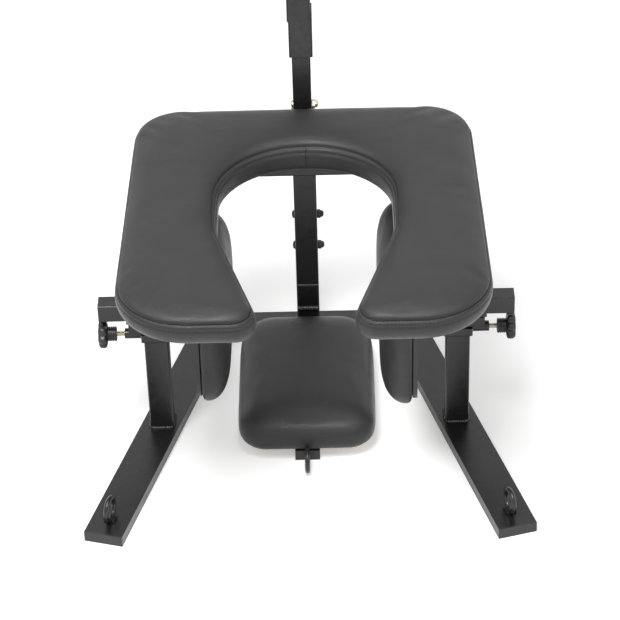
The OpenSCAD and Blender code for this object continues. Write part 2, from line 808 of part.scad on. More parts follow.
runner(-1);  // runner_left
runner(1);  // runner_right
runner_caps();
cross_tube();
centre_tube();
centre_tube_cap();
post(-1);  // post_left
post(1);  // post_right
post_bushes();
collar(-1);  // collar_left
collar(1);  // collar_right
knob_boss(-1);  // knob_boss_left
knob_boss(1);  // knob_boss_right
anchor_eye(-1);  // anchor_eye_left
anchor_eye(1);  // anchor_eye_right
anchor_eye_centre();
mast_socket();
mast_stub();
mast_stub_plug();
foot_welds();
low_board();
low_pad();
low_screws();
star_knob(-1);  // star_knob_left
star_knob(1);  // star_knob_right
knob_stud(-1);  // knob_stud_left
knob_stud(1);  // knob_stud_right
mast_tube();
mast_foot_bush();
mast_shim();
mast_bolts();
mast_nuts();
rear_bar();
rear_bar_caps();
upright(-1);  // upright_left
upright(1);  // upright_right
upright_feet();
sleeve(-1);  // sleeve_left
sleeve(1);  // sleeve_right
sleeve_bushes();
gussets();
riser(-1);  // riser_left
riser(1);  // riser_right
seat_plates();
seat_board();
seat_pad();
seat_screws();
mast_inner_tube();
mast_sleeve();
mast_top_tube();
mast_top_cap();
slide_tube(-1);  // slide_tube_left
slide_tube(1);  // slide_tube_right
side_flange(-1);  // side_flange_left
side_flange(1);  // side_flange_right
side_board(-1);  // side_board_left
side_board(1);  // side_board_right
side_pad(-1);  // side_pad_left
side_pad(1);  // side_pad_right
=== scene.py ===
"""Looks of the padded stool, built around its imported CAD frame. Metres, +Z up, -Y is the open front."""
import json
import math
import random

import bmesh
import bpy
from mathutils import Matrix, Vector
from mathutils.bvhtree import BVHTree
from mathutils.kdtree import KDTree


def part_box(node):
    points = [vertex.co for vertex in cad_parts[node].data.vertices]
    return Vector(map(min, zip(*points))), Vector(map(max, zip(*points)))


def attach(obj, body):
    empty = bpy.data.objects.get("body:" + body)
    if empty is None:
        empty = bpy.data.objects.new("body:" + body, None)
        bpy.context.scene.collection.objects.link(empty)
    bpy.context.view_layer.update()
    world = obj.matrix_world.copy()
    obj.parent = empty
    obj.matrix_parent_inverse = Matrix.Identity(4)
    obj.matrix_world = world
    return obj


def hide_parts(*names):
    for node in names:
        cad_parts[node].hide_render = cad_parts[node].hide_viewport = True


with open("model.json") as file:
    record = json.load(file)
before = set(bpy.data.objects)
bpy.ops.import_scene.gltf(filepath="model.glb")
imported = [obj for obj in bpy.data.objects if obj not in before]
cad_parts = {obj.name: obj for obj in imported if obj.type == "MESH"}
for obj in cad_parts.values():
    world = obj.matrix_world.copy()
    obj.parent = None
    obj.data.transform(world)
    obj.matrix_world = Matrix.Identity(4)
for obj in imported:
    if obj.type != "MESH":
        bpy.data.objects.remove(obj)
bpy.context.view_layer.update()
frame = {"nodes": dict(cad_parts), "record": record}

MM = 0.001
TAU = 2 * math.pi


# ---------------------------------------------------------------- node material helpers

class Nodes:
    """A short way to write a material's node tree."""

    def __init__(self, name, base, roughness, metallic=0.0, specular=0.5):
        self.material = bpy.data.materials.new(name)
        self.material.use_nodes = True
        self.tree = self.material.node_tree
        self.shader = self.tree.nodes["Principled BSDF"]
        self.set(self.shader, {"Base Color": (*base, 1), "Roughness": roughness,
                               "Metallic": metallic, "Specular IOR Level": specular})
        self.coords = self.tree.nodes.new("ShaderNodeTexCoord").outputs["Object"]

    @staticmethod
    def set(node, values):
        for key, value in values.items():
            node.inputs[key].default_value = value

    def link(self, source, target):
        self.tree.links.new(source, target)

    def add(self, kind, inputs=None, links=None, **settings):
        node = self.tree.nodes.new(kind)
        for key, value in settings.items():
            setattr(node, key, value)
        self.set(node, inputs or {})
        for key, source in (links or {}).items():
            self.link(source, node.inputs[key])
        return node

    def noise(self, scale, detail=2.0, stretch=None):
        """Noise of about scale features a metre, stretched along an axis where stretch is given."""
        coords = self.coords
        if stretch:
            coords = self.add("ShaderNodeMapping", {"Scale": stretch}, {"Vector": coords}).outputs[0]
        return self.add("ShaderNodeTexNoise", {"Scale": scale, "Detail": detail}, {"Vector": coords}).outputs["Fac"]

    def cells(self, scale, feature="F1"):
        return self.add("ShaderNodeTexVoronoi", {"Scale": scale}, {"Vector": self.coords},
                        feature=feature).outputs["Distance"]

    def remap(self, source, low, high, to_low, to_high):
        return self.add("ShaderNodeMapRange", {"From Min": low, "From Max": high, "To Min": to_low, "To Max": to_high},
                        {"Value": source}).outputs["Result"]

    def mix(self, factor, a, b):
        node = self.add("ShaderNodeMix", data_type="RGBA")
        self.link(factor, node.inputs["Factor"])
        node.inputs["A"].default_value = (*a, 1)
        node.inputs["B"].default_value = (*b, 1)
        return node.outputs["Result"]

    def bump(self, height, strength, distance, under=None):
        node = self.add("ShaderNodeBump", {"Strength": strength, "Distance": distance}, {"Height": height})
        if under:
            self.link(under, node.inputs["Normal"])
        return node.outputs["Normal"]

    def rounded(self, radius):
        return self.add("ShaderNodeBevel", {"Radius": radius}, samples=4).outputs["Normal"]

    def finish(self, color=None, roughness=None, normal=None):
        for key, source in (("Base Color", color), ("Roughness", roughness), ("Normal", normal)):
            if source:
                self.link(source, self.shader.inputs[key])
        return self.material


def powder_coat():
    """Satin black powder coat: fine orange peel, slightly uneven gloss, rounded edges."""
    m = Nodes("satin_black_powder_coat", (0.006, 0.006, 0.0063), 0.31, specular=0.52)
    peel = m.bump(m.noise(520, 3), 0.16, 0.0006, m.rounded(0.0009))
    peel = m.bump(m.noise(60, 2), 0.10, 0.002, peel)
    color = m.mix(m.noise(35, 5), (0.005, 0.005, 0.0052), (0.010, 0.010, 0.0104))
    return m.finish(color, m.remap(m.noise(90, 6), 0.3, 0.7, 0.27, 0.38), peel)


def leatherette():
    """Black leatherette: a pebble grain with fine creases, over soft unevenness in the foam."""
    m = Nodes("black_leatherette", (0.014, 0.014, 0.0144), 0.35, specular=0.4)
    grain = m.remap(m.cells(620, "DISTANCE_TO_EDGE"), 0.0, 0.16, 0.0, 1.0)
    normal = m.bump(grain, 0.4, 0.0005)
    normal = m.bump(m.noise(1500, 2), 0.16, 0.0003, normal)
    normal = m.bump(m.noise(38, 3), 0.10, 0.003, normal)
    color = m.mix(m.noise(14, 6), (0.011, 0.011, 0.0114), (0.018, 0.0176, 0.0176))
    return m.finish(color, m.remap(m.noise(26, 6), 0.3, 0.7, 0.31, 0.40), normal)


def thread():
    m = Nodes("black_thread", (0.03, 0.03, 0.031), 0.55)
    return m.finish(m.mix(m.noise(900, 2), (0.018, 0.018, 0.019), (0.05, 0.05, 0.05)), None,
                    m.bump(m.noise(2500, 1, (1, 1, 0.3)), 0.5, 0.0003))


def seam_shadow():
    """Near-black: painted shade, laid down in a seam's crease."""
    m = Nodes("painted_seam_shade", (0.004, 0.004, 0.004), 0.8, specular=0.2)
    return m.finish(m.mix(m.noise(1500, 2), (0.002, 0.002, 0.002), (0.008, 0.008, 0.008)), None,
                    m.bump(m.noise(2500, 1), 0.5, 0.0003))


def weld_coat_with_sheen():
    """Powder coat over weld ripples, where it pools and turns glossier. Its colour is painted lighter than the frame's
    black: a painted sheen for the beads' highlights.
    """
    m = Nodes("weld_coat_painted_sheen", (0.03, 0.03, 0.031), 0.2, specular=0.7)
    normal = m.bump(m.noise(700, 3), 0.3, 0.0006)
    # Painted sheen: lighter than the steel's own black, standing in for the beads' highlights
    color = m.mix(m.noise(200, 4), (0.018, 0.018, 0.0185), (0.05, 0.05, 0.05))
    return m.finish(color, m.remap(m.noise(300, 4), 0.3, 0.7, 0.13, 0.28), normal)


def plastic():
    """Black moulding with a fine spark-eroded grain."""
    m = Nodes("black_moulding", (0.014, 0.014, 0.0145), 0.4)
    normal = m.bump(m.noise(1500, 2), 0.2, 0.0003, m.rounded(0.0007))
    color = m.mix(m.noise(60, 4), (0.011, 0.011, 0.0115), (0.018, 0.018, 0.0185))
    return m.finish(color, m.remap(m.noise(45, 4), 0.3, 0.7, 0.34, 0.5), normal)


def nylon():
    m = Nodes("grey_nylon", (0.12, 0.12, 0.125), 0.45)
    normal = m.bump(m.noise(900, 2), 0.15, 0.0003, m.rounded(0.0006))
    return m.finish(m.mix(m.noise(80, 4), (0.10, 0.10, 0.105), (0.15, 0.15, 0.155)), None, normal)


def zinc():
    """Zinc plate with a slight yellow passivate, brushed and lightly mottled."""
    m = Nodes("yellow_zinc_plate", (0.62, 0.56, 0.42), 0.32, metallic=1.0)
    color = m.mix(m.noise(240, 5), (0.50, 0.45, 0.34), (0.72, 0.68, 0.55))
    normal = m.bump(m.noise(700, 3, (0.2, 1, 1)), 0.25, 0.0003, m.rounded(0.0004))
    return m.finish(color, m.remap(m.noise(160, 4), 0.3, 0.7, 0.24, 0.42), normal)


def plywood():
    """Birch plywood: long faint grain on the faces, darker and lighter plies on the edges."""
    m = Nodes("birch_plywood", (0.42, 0.3, 0.18), 0.62)
    grain = m.noise(12, 8, (9, 0.8, 1))
    plies = m.add("ShaderNodeTexWave", {"Scale": 48, "Distortion": 0.3, "Detail": 1}, {"Vector": m.coords},
                  bands_direction="Z").outputs["Fac"]
    both = m.add("ShaderNodeMath", {1: 0.5}, {0: plies}, operation="MULTIPLY_ADD")
    m.link(grain, both.inputs[2])
    color = m.mix(m.remap(both.outputs[0], 0.35, 1.0, 0, 1), (0.30, 0.19, 0.10), (0.52, 0.39, 0.25))
    return m.finish(color, m.remap(grain, 0.3, 0.7, 0.55, 0.75), m.bump(grain, 0.35, 0.0006, m.rounded(0.0006)))


def painted_board():
    """Black-stained board edge: grain shows through a thin coat."""
    m = Nodes("black_painted_board", (0.02, 0.02, 0.02), 0.5)
    grain = m.noise(40, 6, (12, 1, 1))
    return m.finish(m.mix(grain, (0.014, 0.014, 0.0145), (0.026, 0.0255, 0.025)),
                    m.remap(grain, 0.3, 0.7, 0.42, 0.6), m.bump(grain, 0.3, 0.0005, m.rounded(0.0012)))


FINISH = {"black_steel": powder_coat(), "black_plastic": plastic(), "leatherette": leatherette(),
          "zinc_steel": zinc(), "plywood": plywood(), "grey_nylon": nylon(), "black_board": painted_board()}
THREAD, SEAM_SHADE, WELD_SHEEN_COAT = thread(), seam_shadow(), weld_coat_with_sheen()


# ---------------------------------------------------------------- pieces

def body_of_node(node):
    for body, members in frame["record"]["behaviour"]["bodies"].items():
        if node in members:
            return body
    return None


def piece(name, bm, body, slot, material=None, smooth_angle=40):
    """Turns a bmesh into a piece that rides on a body and takes its finish from a slot."""
    bmesh.ops.recalc_face_normals(bm, faces=bm.faces)
    mesh = bpy.data.meshes.new(name)
    bm.to_mesh(mesh)
    bm.free()
    obj = bpy.data.objects.new(name, mesh)
    bpy.context.scene.collection.objects.link(obj)
    mesh.materials.append(material or FINISH[slot])
    mesh.polygons.foreach_set("use_smooth", [True] * len(mesh.polygons))
    mesh.set_sharp_from_angle(angle=math.radians(smooth_angle))
    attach(obj, body)
    return obj


def add_loops(bm, rings, capped=True):
    """Adds rings of points, skinned to each other in order. Every ring has the same number of points."""
    made = [[bm.verts.new(p) for p in ring] for ring in rings]
    count = len(made[0])
    for a, b in zip(made, made[1:]):
        for i in range(count):
            j = (i + 1) % count
            bm.faces.new((a[i], a[j], b[j], b[i]))
    if capped:
        bm.faces.new(made[0])
        bm.faces.new(list(reversed(made[-1])))


def circle_points(n, radius):
    return [(radius * math.cos(TAU * i / n), radius * math.sin(TAU * i / n)) for i in range(n)]


def turned(bm, profile, matrix, n=32):
    """A turned piece about its own Z: profile is (radius, height) pairs from end to end."""
    rings = [[matrix @ Vector((x, y, z)) for x, y in circle_points(n, r)] for r, z in profile]
    add_loops(bm, rings)


def tube_along(bm, points, radius, closed=False, n=8, ripple=None):
    """A round bar along points. ripple(i) scales the radius at point i."""
    count = len(points)
    rings = []
    previous = None
    for i, p in enumerate(points):
        after = points[(i + 1) % count] if closed or i < count - 1 else p
        before = points[i - 1] if closed or i else p
        forward = (after - before).normalized()
        up = previous if previous else (Vector((0, 0, 1)) if abs(forward.z) < 0.9 else Vector((1, 0, 0)))
        right = forward.cross(up).normalized()
        up = right.cross(forward).normalized()
        previous = up
        r = radius * (ripple(i) if ripple else 1)
        rings.append([p + r * (x * right + y * up) for x, y in circle_points(n, 1)])
    if closed:
        rings.append(rings[0])
        add_loops(bm, rings, capped=False)
        bmesh.ops.remove_doubles(bm, verts=bm.verts, dist=1e-6)
    else:
        add_loops(bm, rings)


def resample(points, step, closed=False):
    """Even points along a line of points, about step apart."""
    line = points + ([points[0]] if closed else [])
    lengths = [0.0]
    for a, b in zip(line, line[1:]):
        lengths.append(lengths[-1] + (b - a).length)
    count = max(2, round(lengths[-1] / step))
    out, k = [], 0
    for i in range(count + (0 if closed else 1)):
        s = lengths[-1] * i / count
        while k < len(line) - 2 and lengths[k + 1] < s:
            k += 1
        span = lengths[k + 1] - lengths[k]
        out.append(line[k].lerp(line[k + 1], (s - lengths[k]) / span if span else 0))
    return out


def centre(lo, hi):
    """The middle of a box, as x, y and z."""
    return [(a + b) / 2 for a, b in zip(lo, hi)]


def near_far(lo, hi):
    """How far a box's inner and outer face lie from the stool's middle plane."""
    return sorted((abs(lo.x), abs(hi.x)))


# ---------------------------------------------------------------- outlines of the pads, in metres

def arc(cx, cy, r, a0, a1, steps, end_r=None):
    """Points around a centre. The radius turns into end_r on the way, where that is given."""
    out = []
    for i in range(steps + 1):
        t = i / steps
        a = math.radians(a0 + (a1 - a0) * t)
        here = r + ((r if end_r is None else end_r) - r) * t
        out.append((cx + here * math.cos(a), cy + here * math.sin(a)))
    return out


SEAT_LO, SEAT_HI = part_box("seat_pad")
SEAT_W = SEAT_HI.x
SEAT_REAR_IN = 6 * MM
SEAT_REAR_R, SEAT_FRONT_R, SEAT_TIP_R = 78 * MM, 110 * MM, 34 * MM
OPEN_R, OPEN_Y, OPEN_STRAIGHT, BEND_R = 138 * MM, 17 * MM, 68 * MM, 150 * MM
TAPER = 16.5
# How far the cover's opening is sewn off the middle of the board's, and the share of it that reaches the outer rim
OPEN_OFF, RIM_SHARE = 3.5 * MM, 0.25
# Segments along a corner of a pad, and the least radius a corner shrinks to
CORNER_STEPS, LEAST_RADIUS = 14, 8 * MM


def seat_outline(inset, inner=None):
    """The seat's outline, drawn in by inset on every side, or by inner along the opening."""
    inner = inset if inner is None else inner
    bend_y = OPEN_Y - OPEN_STRAIGHT
    turn = math.radians(TAPER)
    bend_x = OPEN_R - BEND_R + BEND_R * math.cos(turn)
    tip_y = SEAT_LO.y + SEAT_TIP_R
    tip_x = bend_x + (tip_y - bend_y + BEND_R * math.sin(turn)) * math.tan(turn) + SEAT_TIP_R / math.cos(turn)
    rear_x = SEAT_W - SEAT_REAR_IN
    half = (arc(rear_x - SEAT_REAR_R, SEAT_HI.y - SEAT_REAR_R, SEAT_REAR_R - inset, 90, 0, 16)
            + arc(SEAT_W - SEAT_FRONT_R, SEAT_LO.y + SEAT_FRONT_R, SEAT_FRONT_R - inset, 0, -90, 24)
            + arc(tip_x, tip_y, SEAT_TIP_R - inset, 270, 180 - TAPER, 14, SEAT_TIP_R - inner)
            + arc(OPEN_R - BEND_R, bend_y, BEND_R + inner, -TAPER, 0, 8)
            + arc(0, OPEN_Y, OPEN_R + inner, 0, 90, 28))
    points = half + [(-x, y) for x, y in reversed(half[:-1])]
    return [(x + OPEN_OFF * min(1.0, max(RIM_SHARE, (SEAT_W - abs(x)) / (SEAT_W - OPEN_R))), y) for x, y in points]


def round_outline(width, depth, radius, rear_radius=None, rear_bow=0.0):
    """Gives a function of inset for a rectangle with round corners, centred. The rear side may bow outwards."""
    def outline(inset):
        w, d = width / 2 - inset, depth / 2 - inset
        r, q = max(radius - inset, LEAST_RADIUS), max((rear_radius or radius) - inset, LEAST_RADIUS)
        points = (arc(w - q, d - q, q, 0, 90, CORNER_STEPS)
                  + [((w - q) * (1 - i / 4), d) for i in range(1, 8)]
                  + arc(q - w, d - q, q, 90, 180, CORNER_STEPS)
                  + arc(r - w, r - d, r, 180, 270, CORNER_STEPS)
                  + arc(w - r, r - d, r, 270, 360, CORNER_STEPS))
        return [(x, y + (rear_bow * (1 - (x / w) ** 2) if y > 0 else 0) * max(0.0, y / d)) for x, y in points]
    return outline


# ---------------------------------------------------------------- padded pieces

SIM_FRAMES, PRESSURE, VOXEL = 20, 4.0, 4.5 * MM


def at_height(outline, inset, height, place):
    """The outline at a height. The inset is one number, or one for each of the outline's insets."""
    insets = inset if isinstance(inset, tuple) else (inset,)
    return [place @ Vector((x, y, height)) for x, y in outline(*insets)]


def shell(outline, profile, place, settle=None):
    """A closed form: the outline at each (inset, height) of the profile, capped at both ends, then settled."""
    bm = bmesh.new()
    add_loops(bm, [at_height(outline, inset, height, place) for inset, height in profile])
    if settle:
        for v in bm.verts:
            v.co = settle(v.co)
    bmesh.ops.recalc_face_normals(bm, faces=bm.faces)
    return bm


def apply_modifier(obj, kind, **settings):
    modifier = obj.modifiers.new(kind.lower(), kind)
    for key, value in settings.items():
        setattr(modifier, key, value)
    evaluated = obj.evaluated_get(bpy.context.evaluated_depsgraph_get())
    mesh = bpy.data.meshes.new_from_object(evaluated)
    obj.modifiers.remove(modifier)
    old, obj.data = obj.data, mesh
    bpy.data.meshes.remove(old)


def blow_up(obj, held, cap):
    """Swells a cover with cloth pressure.

    held(point) is how firmly a point stays, and cap is the furthest that a point goes.
    """
    rest = [v.co.copy() for v in obj.data.vertices]
    group = obj.vertex_groups.new(name="held")
    for i, p in enumerate(rest):
        group.add([i], held(p), "REPLACE")
    cloth = obj.modifiers.new("cloth", "CLOTH")
    s = cloth.settings
    s.quality = 6
    s.mass = 0.3
    s.tension_stiffness = s.compression_stiffness = 25
    s.shear_stiffness = 12
    s.bending_stiffness = 2.5
    s.use_pressure = True
    s.uniform_pressure_force = PRESSURE
    s.effector_weights.gravity = 0
    s.vertex_group_mass = "held"
    cloth.point_cache.frame_start = 1
    cloth.point_cache.frame_end = SIM_FRAMES
    scene = bpy.context.scene
    for f in range(1, SIM_FRAMES + 1):
        scene.frame_set(f)
    evaluated = obj.evaluated_get(bpy.context.evaluated_depsgraph_get())
    moved = [v.co.copy() for v in evaluated.data.vertices]
    obj.modifiers.remove(cloth)
    scene.frame_set(1)
    for v, a, b in zip(obj.data.vertices, rest, moved):
        step = b - a
        length = step.length
        v.co = a + step * (cap * math.tanh(length / cap) / length if length > 1e-9 else 1)
    obj.vertex_groups.clear()


def relax(obj, rounds):
    """Evens out a mesh by moving each vertex half way to its neighbours' middle, rounds times."""
    bm = bmesh.new()
    bm.from_mesh(obj.data)
    for _ in range(rounds):
        bmesh.ops.smooth_vert(bm, verts=bm.verts, factor=0.5, use_axis_x=True, use_axis_y=True, use_axis_z=True)
    bm.to_mesh(obj.data)
    bm.free()


def nearest_to(line):
    tree = KDTree(len(line))
    for i, p in enumerate(line):
        tree.insert(p, i)
    tree.balance()
    return tree


def crease(obj, line, depth, width):
    """Draws the cover in along a sewn line, to depth at the line and nothing at width from it."""
    tree = nearest_to(line)
    normals = [v.normal.copy() for v in obj.data.vertices]
    for v, normal in zip(obj.data.vertices, normals):
        distance = tree.find(v.co)[2]
        if distance < width:
            v.co -= normal * depth * (1 - (distance / width) ** 2) ** 2


def on_surface(obj, line, lift=0.0):
    """Drops a line of points onto a piece and gives the points and the surface's normals."""
    tree = BVHTree.FromPolygons([v.co for v in obj.data.vertices], [p.vertices for p in obj.data.polygons])
    hits = [tree.find_nearest(p) for p in line]
    return [h[0] + h[1] * lift for h in hits], [h[1] for h in hits]


def seam_shade_line(name, obj, line, body, radius, closed=True):
    """A near-black line of painted shade where two panels of a cover meet, pulled into the crease."""
    bm = bmesh.new()
    points, _ = on_surface(obj, resample(line, 2 * MM, closed=closed), radius * -0.3)
    tube_along(bm, points, radius, closed=closed, n=6)
    return piece(name, bm, body, "leatherette", SEAM_SHADE, smooth_angle=80)


def stitches(name, obj, line, body, pitch, length, radius, drop=0.0):
    """A row of thread stitches along a sewn line, or drop below it."""
    bm = bmesh.new()
    row = [p - Vector((0, 0, drop)) for p in resample(line, pitch, closed=True)]
    points, normals = on_surface(obj, row, radius * 0.25)
    count = len(points)
    for i, (p, up) in enumerate(zip(points, normals)):
        along = (points[(i + 1) % count] - points[i - 1]).normalized()
        side = along.cross(up).normalized()
        rings = []
        for t, r in ((-1, 0.25), (-0.8, 0.8), (0, 1.0), (0.8, 0.8), (1, 0.25)):
            dip = up * (-radius * 0.9 * t * t)
            rings.append([p + dip + along * (t * length / 2) + r * radius * (x * side + y * up)
                          for x, y in circle_points(6, 1)])
        add_loops(bm, rings)
    return piece(name, bm, body, "leatherette", THREAD)


def padded_piece(name, node, outline, profile, place, held, cap, evened=3, settle=None):
    """Makes a cover: shell, even mesh, cloth pressure, relaxing evened times and one subdivision."""
    obj = piece(name, shell(outline, profile, place, settle), body_of_node(node), "leatherette")
    apply_modifier(obj, "REMESH", mode="VOXEL", voxel_size=VOXEL, use_smooth_shade=True)
    relax(obj, 3)
    blow_up(obj, held, cap)
    relax(obj, evened)
    apply_modifier(obj, "SUBSURF", levels=1, render_levels=1)
    obj.data.polygons.foreach_set("use_smooth", [True] * len(obj.data.polygons))
    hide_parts(node)
    return obj


UPRIGHT = Matrix.Identity(4)
SEAT_BOTTOM, SEAT_TOP = SEAT_LO.z + 0.4 * MM, SEAT_HI.z
# How far below the seat's top the sewn seam and the lower row of stitches run
SEAM_DROP, STITCH_DROP = 12 * MM, 21 * MM
# The step that sewn lines are drawn at, and the length from one stitch to the next
SEWN_STEP, STITCH_PITCH, STITCH_RADIUS = 1.5 * MM, 5.5 * MM, 0.55 * MM


def make_seat():
    """The seat's cover, seams and stitches. Each row of the profile has the inset of the outside, the inset of the
    opening and the height. The cover is drawn in under the board."""
    low, top = SEAT_BOTTOM, SEAT_TOP + 1 * MM
    profile = [((34 * MM, 12 * MM), low), ((18.5 * MM, 1 * MM), low + 0.3 * MM), ((12 * MM, -1.5 * MM), low + 3 * MM),
               ((6 * MM, -3.5 * MM), low + 8 * MM), ((1.5 * MM, -4.5 * MM), low + 15 * MM),
               ((-1 * MM, -4.5 * MM), low + 24 * MM), ((-0.5 * MM, -2.5 * MM), SEAT_TOP - 19 * MM),
               ((2 * MM, 2.5 * MM), SEAT_TOP - SEAM_DROP), ((4.5 * MM, 5.5 * MM), SEAT_TOP - 7 * MM),
               ((9 * MM, 10 * MM), SEAT_TOP - 3 * MM), ((15 * MM, 17 * MM), top - 1 * MM), ((26 * MM, 28 * MM), top)]
    seam = at_height(seat_outline, (2 * MM, 2.5 * MM), SEAT_TOP - SEAM_DROP, UPRIGHT)
    seam = resample(seam, SEWN_STEP, closed=True)
    tree = nearest_to(seam)

    def held(p):
        near_seam = max(0.0, 1 - tree.find(p)[2] / (6 * MM))
        return max(near_seam, 1.0 if p.z < SEAT_BOTTOM + 3 * MM else 0.0)

    obj = padded_piece("seat_cover", "seat_pad", seat_outline, profile, UPRIGHT, held, 5 * MM)
    points, _ = on_surface(obj, seam)
    row = at_height(seat_outline, (-1 * MM, -3.5 * MM), SEAT_TOP - STITCH_DROP, UPRIGHT)
    stitched, _ = on_surface(obj, resample(row, SEWN_STEP, closed=True))
    crease(obj, points, 2 * MM, 4.5 * MM)
    crease(obj, stitched, 1 * MM, 3.2 * MM)
    # A near-black tube in the seam's crease: painted shade
    seam_shade_line("seat_seam_shade", obj, seam, "carriage", 0.6 * MM)
    stitches("seat_seam_stitches", obj, seam, "carriage", STITCH_PITCH, 3.4 * MM, STITCH_RADIUS, 0.9 * MM)
    stitches("seat_top_stitches", obj, stitched, "carriage", STITCH_PITCH, 3.8 * MM, STITCH_RADIUS)
    # The cover's band is closed by an upright seam at the back of the opening
    low_z, high_z = SEAT_BOTTOM + 6 * MM, SEAT_TOP - SEAM_DROP
    upright = [Vector((5 * MM, OPEN_Y + OPEN_R, low_z + (high_z - low_z) * i / 30)) for i in range(31)]
    crease(obj, on_surface(obj, upright)[0], 1.4 * MM, 4 * MM)
    # A near-black tube in the upright seam's crease: painted shade
    seam_shade_line("seat_band_seam_shade", obj, upright, "carriage", 0.5 * MM, closed=False)


LOW_R, LOW_REAR_R, LOW_REAR_BOW = 45 * MM, 59 * MM, 4 * MM
# How far the low cushion's front edge settles, and the height its cover doesn't settle below
LOW_SETTLE, LOW_FIRM = 9 * MM, 16 * MM


def make_low_pad():
    """The low cushion: crowned, with its front settled and its rear side bowed out."""
    lo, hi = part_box("low_pad")
    x, y, _ = centre(lo, hi)
    place = Matrix.Translation((x, y, 0))
    outline = round_outline(hi.x - lo.x, hi.y - lo.y, LOW_R, LOW_REAR_R, LOW_REAR_BOW)
    z = hi.z + 1 * MM
    profile = [(10 * MM, lo.z + 0.4 * MM), (3 * MM, lo.z + 1 * MM), (0.5 * MM, lo.z + 6 * MM),
               (-0.5 * MM, lo.z + 16 * MM), (0, z - 30 * MM), (1.5 * MM, z - 22 * MM),
               (5 * MM, z - 14.5 * MM), (11 * MM, z - 9 * MM), (20 * MM, z - 5.5 * MM),
               (32 * MM, z - 3.5 * MM), (48 * MM, z - 1.8 * MM), (66 * MM, z - 0.6 * MM), (84 * MM, z)]

    def held(p):
        return 1.0 if p.z < lo.z + 5 * MM else 0.0

    def settle(p):
        forward = max(0.0, (place.translation.y - p.y) / ((hi.y - lo.y) / 2))
        drop = LOW_SETTLE * forward ** 3 * max(0.0, p.z - lo.z - LOW_FIRM) / (hi.z - lo.z - LOW_FIRM)
        return Vector((p.x, p.y, p.z - drop))

    padded_piece("low_cover", "low_pad", outline, profile, place, held, 2 * MM, 12, settle)


SIDE_L, SIDE_H, SIDE_R, SIDE_RISE, SIDE_TILT = 320 * MM, 204 * MM, 44 * MM, 5 * MM, 5
# The height of the side cover's straight band, how far its crown draws in, and how much flatter the left cover is
SIDE_BAND, SIDE_CROWN, LEFT_FLATTER = 10 * MM, 52 * MM, 4 * MM
CROWN_STEPS = 10


def make_side_pad(side, node):
    """Side pads lie on edge: local Z runs towards the middle of the stool. The left one is stuffed flatter."""
    sign = -1 if side == "left" else 1
    face, _ = near_far(*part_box(node))
    back, _ = near_far(*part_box("side_board_" + side))
    _, tube_y, tube_z = centre(*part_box("slide_tube_" + side))
    pivot = Vector((0, tube_y, tube_z))
    thick = back - face - (LEFT_FLATTER if side == "left" else 0)
    place = (Matrix.Translation(pivot) @ Matrix.Rotation(math.radians(sign * SIDE_TILT), 4, "X")
             @ Matrix.Translation((0, 0, SIDE_RISE))
             @ Matrix(((0, 0, -sign, sign * back), (sign, 0, 0, 0), (0, 1, 0, 0), (0, 0, 0, 1))))
    outline = round_outline(SIDE_L, SIDE_H, SIDE_R)
    profile = [(10 * MM, 0.4 * MM), (2 * MM, 0.6 * MM), (0.5 * MM, 4 * MM), (0, SIDE_BAND)]
    for step in range(1, CROWN_STEPS + 1):
        a = math.radians(90 * step / CROWN_STEPS)
        profile.append((SIDE_CROWN * (1 - math.cos(a)), SIDE_BAND + (thick - SIDE_BAND) * math.sin(a)))
    back_plane = place @ Vector((0, 0, 4 * MM))

    def held(p):
        return 1.0 if abs(p.x) > abs(back_plane.x) else 0.0

    padded_piece("side_cover_" + side, node, outline, profile, place, held, 2 * MM, 8)


# ---------------------------------------------------------------- knobs, studs, bolts and weld beads

def outward(sign, start, y, z):
    """Places a turned piece with its axis along X, running outwards from start."""
    return Matrix(((0, 0, sign, sign * start), (sign, 0, 0, y), (0, 1, 0, z), (0, 0, 0, 1)))


LOBES, LOBE_DEPTH, LOBE_SHARPNESS, KNOB_POINTS = 7, 0.17, 1.4, 126
# The ribs round the hub: how many, and the first one's height and the pitch in mm
RIBS, RIB_START, RIB_PITCH = 4, 1.6, 3.1
# The knob's head above the ribbed hub: radius in mm, share of the lobes' depth, height in mm
KNOB_HEAD = [(13, 0, 14.2), (17.5, 0.5, 15), (21, 0.9, 16), (22.7, 1, 18.5), (23, 1, 22), (22.6, 1, 25.5),
             (21, 0.95, 27.8), (18, 0.8, 28.8), (12.5, 0.3, 29), (10.5, 0, 28.4), (9, 0, 27.6), (1, 0, 27.4)]
THREAD_PITCH, CORE_R, CREST_R = 1.25 * MM, 3.4 * MM, 4 * MM


